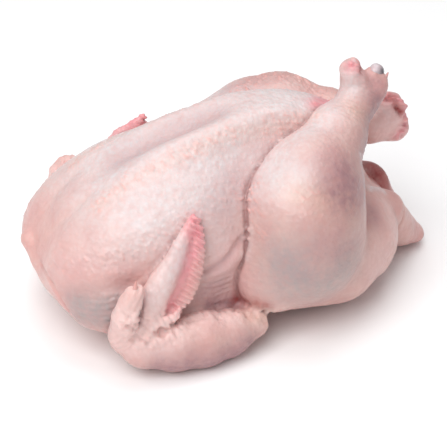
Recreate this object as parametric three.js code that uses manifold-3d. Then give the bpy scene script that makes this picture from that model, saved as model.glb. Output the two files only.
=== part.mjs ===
// A whole raw chicken, dressed for the oven and lying on its back.
//
// One closed body of flesh under one skin: a deep breast with its keel, the back that it rests on, the rump and
// tail, two folded legs that end in bare hock joints, and two wings folded in three with their tips up.
// Every mass is a field that gives the distance to its skin, the fields run into each other over a stated
// width, and the zero level of the sum is covered with triangles.
//
// Millimetres. +X runs from the neck to the tail, +Y to the bird's left, +Z up.
import * as THREE from "three";
import { mergeVertices } from "three/addons/utils/BufferGeometryUtils.js";
import Module from "manifold-3d";

// ---------------------------------------------------------------- driving dimensions
// A mass is { at: its centre, half: its half-sizes }, a limb is a list of balls [x, y, z, radius] from joint to
// joint. What both sides have is given for the left side, where y is positive.

const BREAST_LOBE = { at: [-37, 25, 59], half: [80, 37, 42], pitch: -9 };
const BELLY = { at: [24, 0, 68], half: [64, 44, 42], pitch: -6 };
const CREST = { at: [1, 13.5, 82.3], half: [78, 14, 40], pitch: -7.5 };
const BACK = { at: [-10, 0, 34], half: [102, 54, 37] };
const RUMP = { at: [70, 0, 34], half: [44, 40, 30] };
const VENT_LIP = [
  [84, 18, 46, 17],
  [106, 14, 41, 15.5],
  [115, 9, 27, 13],
];
const VENT = [
  [130, 0, 62, 12],
  [84, 0, 42, 9],
];
const TAIL = [
  [106, 0, 24, 20],
  [124, 0, 16, 15],
  [138, 0, 9, 8],
];
const TAIL_THICKNESS = 0.75;
const NECK_SKIN = [
  [-94, -38, 34, 8],
  [-105, -16, 38, 10],
  [-107, 16, 38, 10],
  [-96, 40, 34, 9],
];

const THIGH = [
  [76, 31, 34, 27.5],
  [57, 45, 34, 25],
  [38, 43, 38, 28],
  [17, 54, 42, 24],
];
const RIGHT_DRUMSTICK = [
  [33, -50, 56, 38.5],
  [34.5, -47, 73, 37.5],
  [43, -42, 88, 30],
  [65, -25, 106, 18.5],
  [84, -12, 117, 10.5],
  [91, -8, 124, 10.5],
];
const RIGHT_KNUCKLES = [
  [82, -7, 137, 6.5],
  [100, -7, 131, 7.5],
];
const LEFT_DRUMSTICK = [
  [31, 54, 64, 36],
  [45, 51, 77, 32],
  [61, 46, 83, 26],
  [88, 31, 84, 15.5],
  [109, 18, 84, 11],
];
const LEFT_KNUCKLES = [
  [116, 12, 92, 12.5],
  [120, 18, 86, 13],
];

const UPPER_ARM = [
  [-80, 42, 42, 20],
  [-40, 56, 26, 18],
  [-4, 62, 16, 12],
];
const FOREARM = [
  [-3, 69, 12, 8.5],
  [-24, 70, 15, 15],
  [-58, 67, 16, 16.5],
  [-76, 62, 26, 15],
];
const HAND_BONES = [
  [-76, 64, 36, 11],
  [-62, 67, 62, 8.5],
  [-42, 60, 84, 5],
  [-36, 57, 92, 2.5],
];
const HAND_SKIN = [
  [-60, 66, 36, 13],
  [-50, 67, 56, 13],
  [-36, 58, 88, 3],
];
const HAND_THICKNESS = 0.4;
const HAND_OUTWARD = { x: -0.1, z: 0.1 };
const LEFT_HAND_SHIFT = { x: 8, z: 8 };
const THUMB = [
  [-83, 67, 36, 10],
  [-81, 75, 54, 7],
  [-77, 79, 66, 2],
];

// Widths over which neighbours run together: one flesh with the next, the thigh with the rump, the two crests of
// the breast across the groove over the keel, the stretches of a limb, and skin across a fold.
const FLESH_MELT = 20;
const RUMP_MELT = 24;
const CREST_MELT = 10;
const LIMB_MELT = 2.5;
const THIGH_MELT = 10;
const DRUMSTICK_MELT = 5;
const REAR_MELT = 8;
const VENT_MELT = 5;
const EDGE_MELT = 6;
const HAND_MELT = 3;
const FOLD = 4;

const SKIN = { color: 0xecc9bd, roughness: 0.45 };
const TABLE = [400, 300, 40];

// ---------------------------------------------------------------- fields

const RIGHT = -1;
const LEFT = 1;
const UP = new THREE.Vector3(0, 0, 1);
const both = (make) => [make(RIGHT), make(LEFT)];
const onSide = (side, balls) => balls.map(([x, y, z, radius]) => [x, side * y, z, radius]);

/** Balls shifted in proportion to their height between the first and the last, as a limb that leans. */
function leaned(balls, shift) {
  const [foot, tip] = [balls[0][2], balls.at(-1)[2]];
  const share = (z) => (z - foot) / (tip - foot);
  return balls.map(([x, y, z, radius]) => [x + shift.x * share(z), y, z + shift.z * share(z), radius]);
}

/** Distance to a plump mass: an ellipsoid tipped `pitch` degrees about Y. */
function mass({ at, half, pitch = 0 }) {
  const centre = new THREE.Vector3(...at);
  const sideways = new THREE.Vector3(0, 1, 0);
  const upright = new THREE.Quaternion().setFromAxisAngle(sideways, THREE.MathUtils.degToRad(-pitch));
  const size = new THREE.Vector3(...half);
  const size2 = size.clone().multiply(size);
  const core = Math.min(...half);
  const local = new THREE.Vector3();
  const scaled = new THREE.Vector3();
  return (p) => {
    local.copy(p).sub(centre).applyQuaternion(upright);
    const inner = scaled.copy(local).divide(size).length();
    const outer = scaled.copy(local).divide(size2).length();
    return inner < 0.01 ? -core : (inner * (inner - 1)) / outer;
  };
}

/** Distance to a limb: balls swept from joint to joint, pressed to `share` of their radius across the flat. */
function limb(balls, { melt = LIMB_MELT, flat = null, share = 1 } = {}) {
  const parts = balls.slice(1).map((ball, i) => stretch(balls[i], ball, flat, share));
  return (p) => parts.map((part) => part(p)).reduce((a, b) => soft(a, b, melt));
}

/** Distance to one stretch of a limb, between two balls. */
function stretch(from, to, flat, share) {
  const start = new THREE.Vector3(...from);
  const axis = new THREE.Vector3(...to).sub(start);
  const length2 = axis.lengthSq();
  const across = flat?.clone().addScaledVector(axis, -flat.dot(axis) / length2).normalize();
  const offset = new THREE.Vector3();
  return (p) => {
    offset.copy(p).sub(start);
    const along = THREE.MathUtils.clamp(offset.dot(axis) / length2, 0, 1);
    const radius = THREE.MathUtils.lerp(from[3], to[3], along);
    const away = offset.addScaledVector(axis, -along).length();
    if (!across || away < 0.001) return away - radius * share;
    const section = Math.hypot(away, offset.dot(across) * Math.sqrt(1 / share ** 2 - 1));
    return ((section - radius) * away) / section;
  };
}

/** Two distances run together over a width. */
function soft(a, b, width) {
  const overlap = Math.max(width - Math.abs(a - b), 0) / width;
  return Math.min(a, b) - (overlap ** 2 * width) / 4;
}

const joined = (fields, width) => (p) => fields.map((field) => field(p)).reduce((a, b) => soft(a, b, width));
const carved = (field, hollow, width) => (p) => -soft(-field(p), hollow(p), width);

// ---------------------------------------------------------------- torso

const sideMass = (side, shape) => {
  const [x, y, z] = shape.at;
  return mass({ ...shape, at: [x, side * y, z] });
};
const breastSide = (side) => joined([sideMass(side, BREAST_LOBE), sideMass(side, CREST)], FLESH_MELT);
const breast = joined([...both(breastSide), mass(BELLY)], CREST_MELT);
const arms = both((side) => limb(onSide(side, UPPER_ARM)));
const rump = mass(RUMP);
const trunk = joined([breast, mass(BACK), rump, ...arms], FLESH_MELT);
const ventLips = both((side) => limb(onSide(side, VENT_LIP)));
const tail = limb(TAIL, { flat: UP, share: TAIL_THICKNESS });
const rear = joined([...ventLips, tail], REAR_MELT);
const torso = carved(joined([trunk, rear, limb(NECK_SKIN)], EDGE_MELT), limb(VENT), VENT_MELT);

// ---------------------------------------------------------------- legs

/** A leg: thigh and drumstick, and the two bare knuckles of the hock that the drumstick ends in. */
function leg(side, drumstick, knuckles) {
  const hock = drumstick.at(-1);
  const ends = knuckles.map((knuckle) => limb([hock, knuckle]));
  const thigh = limb(onSide(side, THIGH), { melt: THIGH_MELT });
  return joined([thigh, limb(drumstick, { melt: DRUMSTICK_MELT }), ...ends], EDGE_MELT);
}

const legs = [leg(RIGHT, RIGHT_DRUMSTICK, RIGHT_KNUCKLES), leg(LEFT, LEFT_DRUMSTICK, LEFT_KNUCKLES)];

// ---------------------------------------------------------------- wings

/** The two outer joints of a wing: the forearm along the table, and the hand stood up against the breast. */
function wing(side) {
  const shift = side === LEFT ? LEFT_HAND_SHIFT : { x: 0, z: 0 };
  const forearm = limb(onSide(side, FOREARM));
  const handBones = limb(onSide(side, leaned(HAND_BONES, shift)));
  const outward = new THREE.Vector3(HAND_OUTWARD.x, side, HAND_OUTWARD.z);
  const handSkin = limb(onSide(side, leaned(HAND_SKIN, shift)), { flat: outward, share: HAND_THICKNESS });
  return joined([forearm, joined([handBones, handSkin, limb(onSide(side, THUMB))], HAND_MELT)], FOLD);
}

// ---------------------------------------------------------------- bird

const withLegs = joined([torso, ...legs.map((each) => joined([each, rump], RUMP_MELT))], FOLD);
const bird = joined([withLegs, ...both(wing)], FOLD);

// ---------------------------------------------------------------- skin

const COARSE = 7;
const FINE = 5;
const GRID = [
  ladder(-128, [[-88, COARSE], [-30, FINE], [72, COARSE], [150, FINE]]),
  ladder(-96, [[-50, FINE], [-24, COARSE], [24, FINE], [50, COARSE], [96, FINE]]),
  ladder(-14, [[95, COARSE], [149, FINE]]),
];
const SETTLING_ROUNDS = 3;
const LARGEST_STEP = 2;

/** Grid lines from `start`: every zone [end, step] is filled evenly, with lines no further apart than its step. */
function ladder(start, zones) {
  const lines = [start];
  for (const [end, step] of zones) {
    const from = lines.at(-1);
    const count = Math.ceil((end - from) / step);
    for (let i = 1; i <= count; i++) {
      lines.push(THREE.MathUtils.lerp(from, end, i / count));
    }
  }
  return lines;
}

// The corners of a cell are numbered 0 to 7, with one bit for each axis.
const CORNERS = [0, 1, 2, 3, 4, 5, 6, 7].map((bits) => [bits & 1, (bits >> 1) & 1, bits >> 2]);
const EDGES = CORNERS.flatMap((_, a) => [1, 2, 4].filter((bit) => !(a & bit)).map((bit) => [a, a | bit]));

// Two corners across a face or across the cell, with the corners that lie between them.
const DIAGONALS = CORNERS.flatMap((_, a) =>
  CORNERS.map((_, b) => b)
    .filter((b) => b > a && ![1, 2, 4].includes(a ^ b))
    .map((b) => ({ a, b, between: CORNERS.map((_, c) => c).filter((c) => c !== a && c !== b && !((c ^ a) & ~(a ^ b))) })),
);

/** Fills the corners at which the skin would touch itself, until every edge of the covering has two faces. */
function closePinches(values, index, cells) {
  const barelyInside = -0.01;
  let pinched = true;
  while (pinched) {
    pinched = false;
    cells((i, j, k) => {
      const at = CORNERS.map(([a, b, c]) => index(i + a, j + b, k + c));
      for (const { a, b, between } of DIAGONALS) {
        const inside = values[at[a]] < 0;
        if (inside !== values[at[b]] < 0 || between.some((c) => inside === values[at[c]] < 0)) continue;
        const outer = inside ? between : [a, b];
        const nearest = outer.reduce((m, n) => (values[at[n]] < values[at[m]] ? n : m));
        values[at[nearest]] = barelyInside;
        pinched = true;
      }
    });
  }
}

/** Covers the zero level of a field: one vertex in each cell that it crosses, one quad round each edge it cuts. */
function cover(field, [xs, ys, zs]) {
  const index = (i, j, k) => (i * ys.length + j) * zs.length + k;
  const values = new Float64Array(xs.length * ys.length * zs.length);
  const p = new THREE.Vector3();
  xs.forEach((x, i) => ys.forEach((y, j) => zs.forEach((z, k) => (values[index(i, j, k)] = field(p.set(x, y, z))))));
  const cells = (visit) => {
    for (let i = 0; i < xs.length - 1; i++) {
      for (let j = 0; j < ys.length - 1; j++) {
        for (let k = 0; k < zs.length - 1; k++) visit(i, j, k);
      }
    }
  };
  closePinches(values, index, cells);

  const cellVertex = new Map();
  const positions = [];
  const cell = CORNERS.map(() => new THREE.Vector4());
  const crossing = new THREE.Vector4();
  cells((i, j, k) => {
    CORNERS.forEach(([a, b, c], n) => {
      cell[n].set(xs[i + a], ys[j + b], zs[k + c], values[index(i + a, j + b, k + c)]);
    });
    const cut = EDGES.filter(([a, b]) => cell[a].w < 0 !== cell[b].w < 0);
    if (cut.length === 0) return;
    const middle = new THREE.Vector4();
    for (const [a, b] of cut) {
      middle.add(crossing.lerpVectors(cell[a], cell[b], cell[a].w / (cell[a].w - cell[b].w)));
    }
    middle.divideScalar(cut.length);
    cellVertex.set(index(i, j, k), positions.length / 3);
    positions.push(middle.x, middle.y, middle.z);
  });

  const faces = [];
  const addQuad = (cells, inward) => {
    const [a, b, c, d] = cells.map(([i, j, k]) => cellVertex.get(index(i, j, k)));
    faces.push(...(inward ? [a, c, b, a, d, c] : [a, b, c, a, c, d]));
  };
  cells((i, j, k) => {
    const inside = values[index(i, j, k)] < 0;
    const ends = (other) => inside !== values[other] < 0;
    if (ends(index(i + 1, j, k))) addQuad([[i, j - 1, k - 1], [i, j, k - 1], [i, j, k], [i, j - 1, k]], !inside);
    if (ends(index(i, j + 1, k))) addQuad([[i - 1, j, k - 1], [i - 1, j, k], [i, j, k], [i, j, k - 1]], !inside);
    if (ends(index(i, j, k + 1))) addQuad([[i - 1, j - 1, k], [i, j - 1, k], [i, j, k], [i - 1, j, k]], !inside);
  });
  const geometry = new THREE.BufferGeometry();
  geometry.setAttribute("position", new THREE.Float32BufferAttribute(positions, 3));
  geometry.setIndex(faces);
  return geometry;
}

/** Evens out the covering: each vertex drifts to the middle of its neighbours and is drawn back onto the skin. */
function settle(geometry, field, rounds) {
  const position = geometry.getAttribute("position");
  const neighbours = Array.from({ length: position.count }, () => new Set());
  const corner = geometry.getIndex().array;
  for (let f = 0; f < corner.length; f += 3) {
    for (const [a, b] of [[0, 1], [1, 2], [2, 0]]) {
      neighbours[corner[f + a]].add(corner[f + b]);
      neighbours[corner[f + b]].add(corner[f + a]);
    }
  }
  const at = (v, out) => out.fromBufferAttribute(position, v);
  const p = new THREE.Vector3();
  const q = new THREE.Vector3();
  for (let round = 0; round < rounds; round++) {
    const drifted = neighbours.map((ring, v) => {
      const middle = new THREE.Vector3();
      ring.forEach((other) => middle.add(at(other, q)));
      return middle.divideScalar(ring.size).lerp(at(v, p), 0.5);
    });
    drifted.forEach((middle, v) => position.setXYZ(v, ...ontoSkin(middle, field)));
  }
}

/** The point of the skin near `p`, found by two steps down the slope of the field. */
function ontoSkin(p, field) {
  const probe = 0.2;
  for (let step = 0; step < 2; step++) {
    const here = field(p);
    const slope = new THREE.Vector3(
      field(p.clone().setX(p.x + probe)) - here,
      field(p.clone().setY(p.y + probe)) - here,
      field(p.clone().setZ(p.z + probe)) - here,
    ).divideScalar(probe);
    p.addScaledVector(slope, THREE.MathUtils.clamp(-here, -LARGEST_STEP, LARGEST_STEP) / Math.max(slope.lengthSq(), 0.3));
  }
  return p;
}

// ---------------------------------------------------------------- seat

const wasm = await Module();
wasm.setup();

/** A closed, indexed geometry as a solid. */
function solid(geometry) {
  const vertProperties = new Float32Array(geometry.getAttribute("position").array);
  const triVerts = new Uint32Array(geometry.getIndex().array);
  return new wasm.Manifold(new wasm.Mesh({ numProp: 3, vertProperties, triVerts }));
}

/** The body with everything below the table cut away, which leaves the flats that it rests on. */
function seated(geometry) {
  const table = new THREE.BoxGeometry(...TABLE);
  table.translate(0, 0, -TABLE[2] / 2);
  table.deleteAttribute("normal");
  table.deleteAttribute("uv");
  const cut = solid(geometry).subtract(solid(mergeVertices(table))).getMesh();
  const result = new THREE.BufferGeometry();
  result.setAttribute("position", new THREE.BufferAttribute(cut.vertProperties, 3));
  result.setIndex(new THREE.BufferAttribute(cut.triVerts, 1));
  return result;
}

// ---------------------------------------------------------------- part

const covering = cover(bird, GRID);
settle(covering, bird, SETTLING_ROUNDS);
const chicken = new THREE.Mesh(seated(covering), new THREE.MeshStandardMaterial({ ...SKIN, metalness: 0 }));
chicken.name = "whole_chicken";

// The origin is the middle of the resting face of the bounding box.
const box = new THREE.Box3().setFromObject(chicken);
const middle = box.getCenter(new THREE.Vector3());
chicken.position.set(-middle.x, -middle.y, -box.min.z);

const group = new THREE.Group();
group.add(chicken);
export default group;
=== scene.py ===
"""A whole raw chicken, dressed for the oven and lying on its back on a pale studio floor."""

import math
from functools import partial

import bpy
import numpy as np
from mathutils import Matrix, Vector


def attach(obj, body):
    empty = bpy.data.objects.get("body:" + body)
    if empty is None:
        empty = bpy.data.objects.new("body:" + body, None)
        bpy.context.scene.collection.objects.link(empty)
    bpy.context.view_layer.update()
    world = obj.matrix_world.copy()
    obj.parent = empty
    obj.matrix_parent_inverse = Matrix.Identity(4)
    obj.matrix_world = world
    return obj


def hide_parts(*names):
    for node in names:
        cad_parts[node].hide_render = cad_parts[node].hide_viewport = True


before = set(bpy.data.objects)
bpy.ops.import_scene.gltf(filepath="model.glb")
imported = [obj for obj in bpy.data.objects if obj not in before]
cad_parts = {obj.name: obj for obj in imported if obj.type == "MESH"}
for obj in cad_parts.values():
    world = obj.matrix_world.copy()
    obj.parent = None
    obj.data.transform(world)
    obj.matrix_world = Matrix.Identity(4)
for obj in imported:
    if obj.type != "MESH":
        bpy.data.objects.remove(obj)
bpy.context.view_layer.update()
bpy.ops.object.select_all(action="DESELECT")

# ---------------------------------------------------------------- camera
# A long lens on a stand a metre in front of the bird's right side, looking down on it by 34 degrees. It is aimed a
# little above the bird's back, so that the raised hock keeps some air above it.

MM = 0.001
LENS_MM = 128.9
SENSOR_MM = 36.0
CAMERA_BACK = Vector((-0.2971, -0.7740, 0.5592))
CAMERA_STAND_OFF = 1.0
AIM_RIGHT, AIM_UP = 0.00406, 0.03844
# The frame's origin is the middle of the bird's box. Its own middle line runs through this place instead.
MIDDLE_LINE = Vector((-13.80, -0.69, 0.0)) * MM

camera_right = Vector((0, 0, 1)).cross(CAMERA_BACK).normalized()
camera_up = CAMERA_BACK.cross(camera_right)
aim = -CAMERA_BACK + AIM_RIGHT * camera_right + AIM_UP * camera_up
bpy.ops.object.camera_add(location=MIDDLE_LINE + CAMERA_BACK * CAMERA_STAND_OFF)
camera = bpy.context.object
camera.name = "camera"
camera.rotation_euler = aim.to_track_quat("-Z", "Y").to_euler()
camera.data.lens = LENS_MM
camera.data.sensor_width = SENSOR_MM
bpy.context.scene.camera = camera

# ---------------------------------------------------------------- studio
# A white sweep of paper under the bird, one large softbox up at the left that models the flesh, one overhead that
# gives the moist skin its broad sheen, and bright white walls all round that keep the shadows soft.


def linear(code):
    """The linear colour of an sRGB hex code."""
    shares = [int(code[i : i + 2], 16) / 255 for i in (1, 3, 5)]
    return [s / 12.92 if s <= 0.04045 else ((s + 0.055) / 1.055) ** 2.4 for s in shares] + [1.0]


def add_node(tree, kind, inputs=None, **settings):
    """Adds a node, with its settings, and its inputs set to values or linked to sockets."""
    node = tree.nodes.new("ShaderNode" + kind)
    for name, value in settings.items():
        setattr(node, name, value)
    for name, value in (inputs or {}).items():
        if isinstance(value, bpy.types.NodeSocket):
            tree.links.new(value, node.inputs[name])
        else:
            node.inputs[name].default_value = value
    return node


def new_material(name):
    """An empty node material and its tree."""
    material = bpy.data.materials.new(name)
    material.use_nodes = True
    material.node_tree.nodes.clear()
    return material, material.node_tree


bpy.ops.mesh.primitive_plane_add(size=6.0)
floor = bpy.context.object
floor.name = "floor"
# Matt white background paper: bright and even, with no gloss.
paper, tree = new_material("matt_white_paper")
FIBRES_PER_METRE = 900.0
coordinates = add_node(tree, "TexCoord").outputs["Object"]
fibres = add_node(tree, "TexNoise", {"Vector": coordinates, "Scale": FIBRES_PER_METRE, "Detail": 2.0})
nap = add_node(tree, "Bump", {"Height": fibres.outputs["Fac"], "Strength": 0.05, "Distance": 0.0002})
sheet_of_paper = add_node(
    tree, "BsdfPrincipled",
    {"Base Color": linear("#ffffff"), "Roughness": 0.9, "Specular IOR Level": 0.2, "Normal": nap.outputs["Normal"]},
)
add_node(tree, "OutputMaterial", {"Surface": sheet_of_paper.outputs["BSDF"]})
floor.data.materials.append(paper)

# Both softboxes face the middle of the bird.
BIRD_HEART = (0, 0, 0.05)
SOFTBOXES = {
    "softbox_left": {"at": (-0.68, -0.55, 1.15), "size": 1.1, "watts": 15.2},
    "softbox_overhead": {"at": (0.15, 0.3, 1.35), "size": 1.1, "watts": 8.0},
}
for name, box in SOFTBOXES.items():
    bpy.ops.object.light_add(type="AREA", location=box["at"])
    light = bpy.context.object
    light.name = name
    light.data.shape = "SQUARE"
    light.data.size = box["size"]
    light.data.energy = box["watts"]
    light.data.color = (1.0, 1.0, 1.0)
    light.rotation_euler = (Vector(BIRD_HEART) - Vector(box["at"])).to_track_quat("-Z", "Y").to_euler()

walls = bpy.data.worlds.new("white_walls")
bpy.context.scene.world = walls
walls.use_nodes = True
walls.node_tree.nodes.clear()
glow = add_node(walls.node_tree, "Background", {"Color": linear("#fdfdff"), "Strength": 0.36})
add_node(walls.node_tree, "OutputWorld", {"Surface": glow.outputs["Background"]})
bpy.context.scene.view_settings.view_transform = "Standard"

# ---------------------------------------------------------------- the bird's flesh and skin
# One closed skin over breast, back, rump, legs and wings. Its parts are blocked in with plain shapes, which are run
# together, covered with small even faces and drawn onto one smooth form, with tight folds where the legs and wings
# press on the body. The loose skin's creases, pleats and pimples are then raised on it. Sizes are millimetres from
# the bird's middle line.

RIGHT, LEFT = -1, 1
BREAST_LOBE = {"at": (-35.5, 25, 59), "half": (79, 37, 42), "pitch": -9}
BELLY = {"at": (24, 0, 68), "half": (64, 44, 42), "pitch": -6}
CREST = {"at": (1, 13.5, 81.8), "half": (78, 14, 40), "pitch": -7.5}
BACK = {"at": (-8, 0, 34), "half": (100, 53, 36)}
RUMP = {"at": (70, 0, 34), "half": (44, 40, 30)}
VENT_LIPS = {
    RIGHT: [(84, 18, 45, 17), (104.5, 14, 38.5, 14.5), (115, 9, 26, 12.5)],
    LEFT: [(84, 18, 46, 17), (106, 14, 41.5, 15.5), (115, 9, 27, 13)],
}
VENT = [(130, 0, 62, 12), (84, 0, 42, 9)]
UNDER_FLANK = [(-54, 62, 31, 3), (-44, 61.5, 28, 4.2), (-28, 61, 25.3, 5), (-18, 60.5, 24.4, 4)]
TAIL = [(106, 0, 24, 20), (122, 0, 16, 15.5), (134, 0, 9.5, 9.5)]
NECK_SKIN = [(-93, -40, 31, 8.5), (-97, -19, 39, 8.5), (-103, 14, 43, 9), (-96, 40, 38, 9)]
NECK_FLAP = [(-95, -31, 23, 2.4), (-104, -14, 31, 2.4), (-111, 2, 44, 4), (-113.6, 15, 51.5, 4.4),
             (-107, 31, 53, 4.4)]
THIGH = [(76, 31, 34, 27.5), (57, 45, 34, 25), (38, 43, 38, 28), (14, 54, 42, 25.5)]
RIGHT_DRUMSTICK = [(32, -50, 57, 39), (34.5, -47, 73, 38), (43, -42, 88, 30), (65, -25, 106, 18.5),
                   (84, -12, 117, 11)]
RIGHT_KNUCKLES = [[(84, -12, 117, 11), (84.5, -8, 130, 7.6), (82.6, -7, 137.5, 6.6)],
                  [(84, -12, 117, 11), (91, -9, 121, 9.5), (96.8, -8, 127.2, 6.9), (97.4, -8, 131, 5.6)],
                  [(94, -10, 118, 7), (98.6, -12.2, 123.5, 4), (100.6, -12.5, 127, 2.4), (101.6, -12.6, 130, 1.6)]]
LEFT_DRUMSTICK = [(31, 54, 64, 36), (45, 51, 77, 32), (62, 46, 84.5, 26.5), (87, 32, 85.5, 18.5),
                  (109, 18, 84, 11)]
LEFT_KNUCKLES = [[(109, 18, 84, 11), (120.5, 14, 94.5, 10.6)], [(109, 18, 84, 11), (126, 17, 80, 10.8)]]
LEFT_HOCK_CUT = {"at": (133, 12, 86), "facing": (0.9, -0.3, 0.3)}
UPPER_ARM = [(-80, 42, 38, 19), (-50, 45, 27, 13), (-15, 48, 18, 8)]
FOREARM = [(-3.8, 68.5, 17.2, 9.2), (-19, 69.5, 15.6, 13.9), (-36, 70, 15.7, 16.2), (-54, 70, 17, 16.1),
           (-70, 67, 20, 15), (-78, 65, 26, 12.5)]
FINGER = [(-70.5, 70, 34, 10), (-67.5, 69, 46, 9.6), (-58.8, 66.8, 58, 8.2), (-51.5, 64.7, 66.6, 6.4),
          (-46, 62.4, 76.2, 5), (-39.3, 58.3, 85, 3.1), (-35.6, 56, 90.6, 1.3)]
FLAP = [(-34, 58, 87.8, 1.6), (-34, 60.2, 83.2, 2.8), (-34.5, 63.1, 76.8, 3.5), (-35.8, 65, 69.8, 4.1),
        (-38, 66.9, 61.4, 4.5), (-41.4, 68.3, 53.7, 4.5), (-45.4, 69.4, 46.8, 4.4), (-51.4, 70.1, 41.9, 4),
        (-58, 70.6, 38.5, 3.2)]
WEB = [(-35.2, 57.2, 88, 2.6), (-36.8, 58.2, 83, 4.4), (-42.8, 62, 68.2, 6), (-49.4, 64.5, 56.1, 7),
       (-57.6, 66.2, 45.5, 7), (-63.7, 67.4, 37.5, 6.4)]
CURL = [(-52, 73.5, 41.5, 2.4), (-55.4, 74.6, 38.6, 2.8), (-60, 75, 36.6, 3.2), (-65, 75.5, 38, 3),
        (-69, 76, 42, 2.2)]
THUMBS = {
    RIGHT: [(-84, 69, 30.5, 7.8), (-83, 73.8, 45.5, 7.4), (-81, 76.8, 55.5, 6.8), (-78.8, 77.4, 61, 5.6),
            (-76.4, 78, 63.5, 3.8)],
    LEFT: [(-84, 69, 30.5, 7.6), (-81, 73.8, 45.5, 7.3), (-77, 76.5, 55.5, 6.6), (-72.5, 77, 60.5, 5.2),
           (-69, 77, 62.5, 3.4)],
}
# How far the left hand's tip leans, and the share of its length above which it bends.
LEFT_HAND_LEAN, LEFT_HAND_BEND = (8.5, 9.5), 0.7
FINGER_FOOT, FINGER_TIP = 36.0, 90.0
TAIL_SHARE, FINGER_SHARE, FLAP_SHARE, WEB_SHARE = 0.75, 0.78, 0.5, 0.62
# The widths over which parts run together. FOLD is the tight one, where the legs and the wings press on the body.
FLESH_MELT, RUMP_MELT, CREST_MELT, FOLD = 20, 24, 10, 1.5
# The valley between the two crests of the breast runs out towards the neck and towards the keel's tip.
VALLEY_AT, VALLEY_MELT = (-95, -75, -50, -20, 10, 60), (30, 22, 15, 18, 32, 40)
# Each leg lies behind LEG_FROM and reaches LEG_PAST over the middle line. Each wing lies before WING_BEFORE, out from
# WING_OUT and below WING_BELOW. A part counts as FAR off from points outside these bounds.
LEG_FROM, LEG_PAST, WING_BEFORE, WING_OUT, WING_BELOW, FAR = -40, 25, 20, 30, 115, 60.0
# The tight folds fade out over RUMP_BLEND up to RUMP_FROM, because the rump has none.
RUMP_FROM, RUMP_BLEND = 72, 15
# The size of the skin's faces, and the steps by which they are drawn onto the form.
SKIN_FACE = 1.9
NUDGE, LONGEST_MOVE, LEAST_STEEPNESS = 0.3, 2.0, 0.25


def mass(points, at, half, pitch=0):
    """Distance to a plump mass: an ellipsoid tipped about the bird's cross line."""
    turn = math.radians(pitch)
    x, y, z = (points - at).T
    local = np.stack([x * math.cos(turn) - z * math.sin(turn), y, x * math.sin(turn) + z * math.cos(turn)], 1)
    inner = np.linalg.norm(local / np.array(half), axis=1)
    outer = np.linalg.norm(local / np.array(half) ** 2.0, axis=1)
    return np.where(inner < 0.01, -min(half), inner * (inner - 1) / np.maximum(outer, 1e-9))


def soft(a, b, melt):
    """Two distances run together over a width."""
    overlap = np.maximum(melt - np.abs(a - b), 0) / melt
    return np.minimum(a, b) - overlap**2 * melt / 4


def joined(distances, melt):
    """Several distances run together over a width."""
    whole = distances[0]
    for distance in distances[1:]:
        whole = soft(whole, distance, melt)
    return whole


def limb(points, balls, melt=2.5, flat=None, share=1.0):
    """Distance to balls swept from joint to joint, pressed to a share of their radius across the flat."""
    stretches = []
    for start, end in zip(np.array(balls, float), np.array(balls[1:], float)):
        axis = end[:3] - start[:3]
        offset = points - start[:3]
        along = np.clip(offset @ axis / (axis @ axis), 0, 1)
        radius = start[3] + (end[3] - start[3]) * along
        offset = offset - along[:, None] * axis
        away = np.linalg.norm(offset, axis=1)
        section = away
        if flat is not None:
            across = np.array(flat, float) - axis * (np.array(flat, float) @ axis) / (axis @ axis)
            across /= np.linalg.norm(across)
            section = np.sqrt(away**2 + (offset @ across) ** 2 * (1 / share**2 - 1))
        outside = (section - radius) * away / np.maximum(section, 1e-9)
        stretches.append(np.where(away < 0.001, -radius * share, outside))
    return joined(stretches, melt)


def on(side, shape):
    """A plump mass that is given for the left, put on one side."""
    x, y, z = shape["at"]
    return {**shape, "at": (x, side * y, z)}


def on_side(side, balls):
    """Balls that are given for the left, put on one side."""
    return [(x, side * y, *rest) for x, y, *rest in balls]


def leaned(side, balls):
    """A hand's balls on one side, where the left hand leans on past the breast and bends at its tip."""
    if side == RIGHT:
        return on_side(side, balls)
    lean_x, lean_z = LEFT_HAND_LEAN
    shares = [(ball[2] - FINGER_FOOT) / (FINGER_TIP - FINGER_FOOT) for ball in balls]
    return [(x + lean_x * s, y, z + lean_z * min(s, LEFT_HAND_BEND), r) for (x, y, z, r), s in zip(balls, shares)]


def torso(points):
    """Distance to the breast, the back, the rump with the tail, and the upper arms."""
    sides = [joined([mass(points, **on(side, BREAST_LOBE)), mass(points, **on(side, CREST))], FLESH_MELT)
             for side in (RIGHT, LEFT)]
    valley = np.interp(points[:, 0], VALLEY_AT, VALLEY_MELT)
    breast = joined([joined(sides, valley), mass(points, **BELLY)], CREST_MELT)
    arms = [limb(points, on_side(side, UPPER_ARM)) for side in (RIGHT, LEFT)]
    trunk = joined([breast, mass(points, **BACK), mass(points, **RUMP), *arms], FLESH_MELT)
    lips = [limb(points, on_side(side, VENT_LIPS[side])) for side in (RIGHT, LEFT)]
    rear = joined([*lips, limb(points, TAIL, melt=4, flat=(0, 0, 1), share=TAIL_SHARE)], melt=8)
    closed = joined([trunk, rear, limb(points, NECK_SKIN)], melt=6)
    hollow = -soft(-closed, limb(points, VENT), melt=5)
    for side in (RIGHT, LEFT):
        hollow = -soft(-hollow, limb(points, on_side(side, UNDER_FLANK)), melt=2)
    return soft(hollow, limb(points, NECK_FLAP), melt=4)


def local(field, points, near):
    """A distance worked out only for the points near a limb; the rest are taken as far off."""
    distance = np.full(len(points), FAR)
    distance[near] = field(points[near])
    return distance


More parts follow.
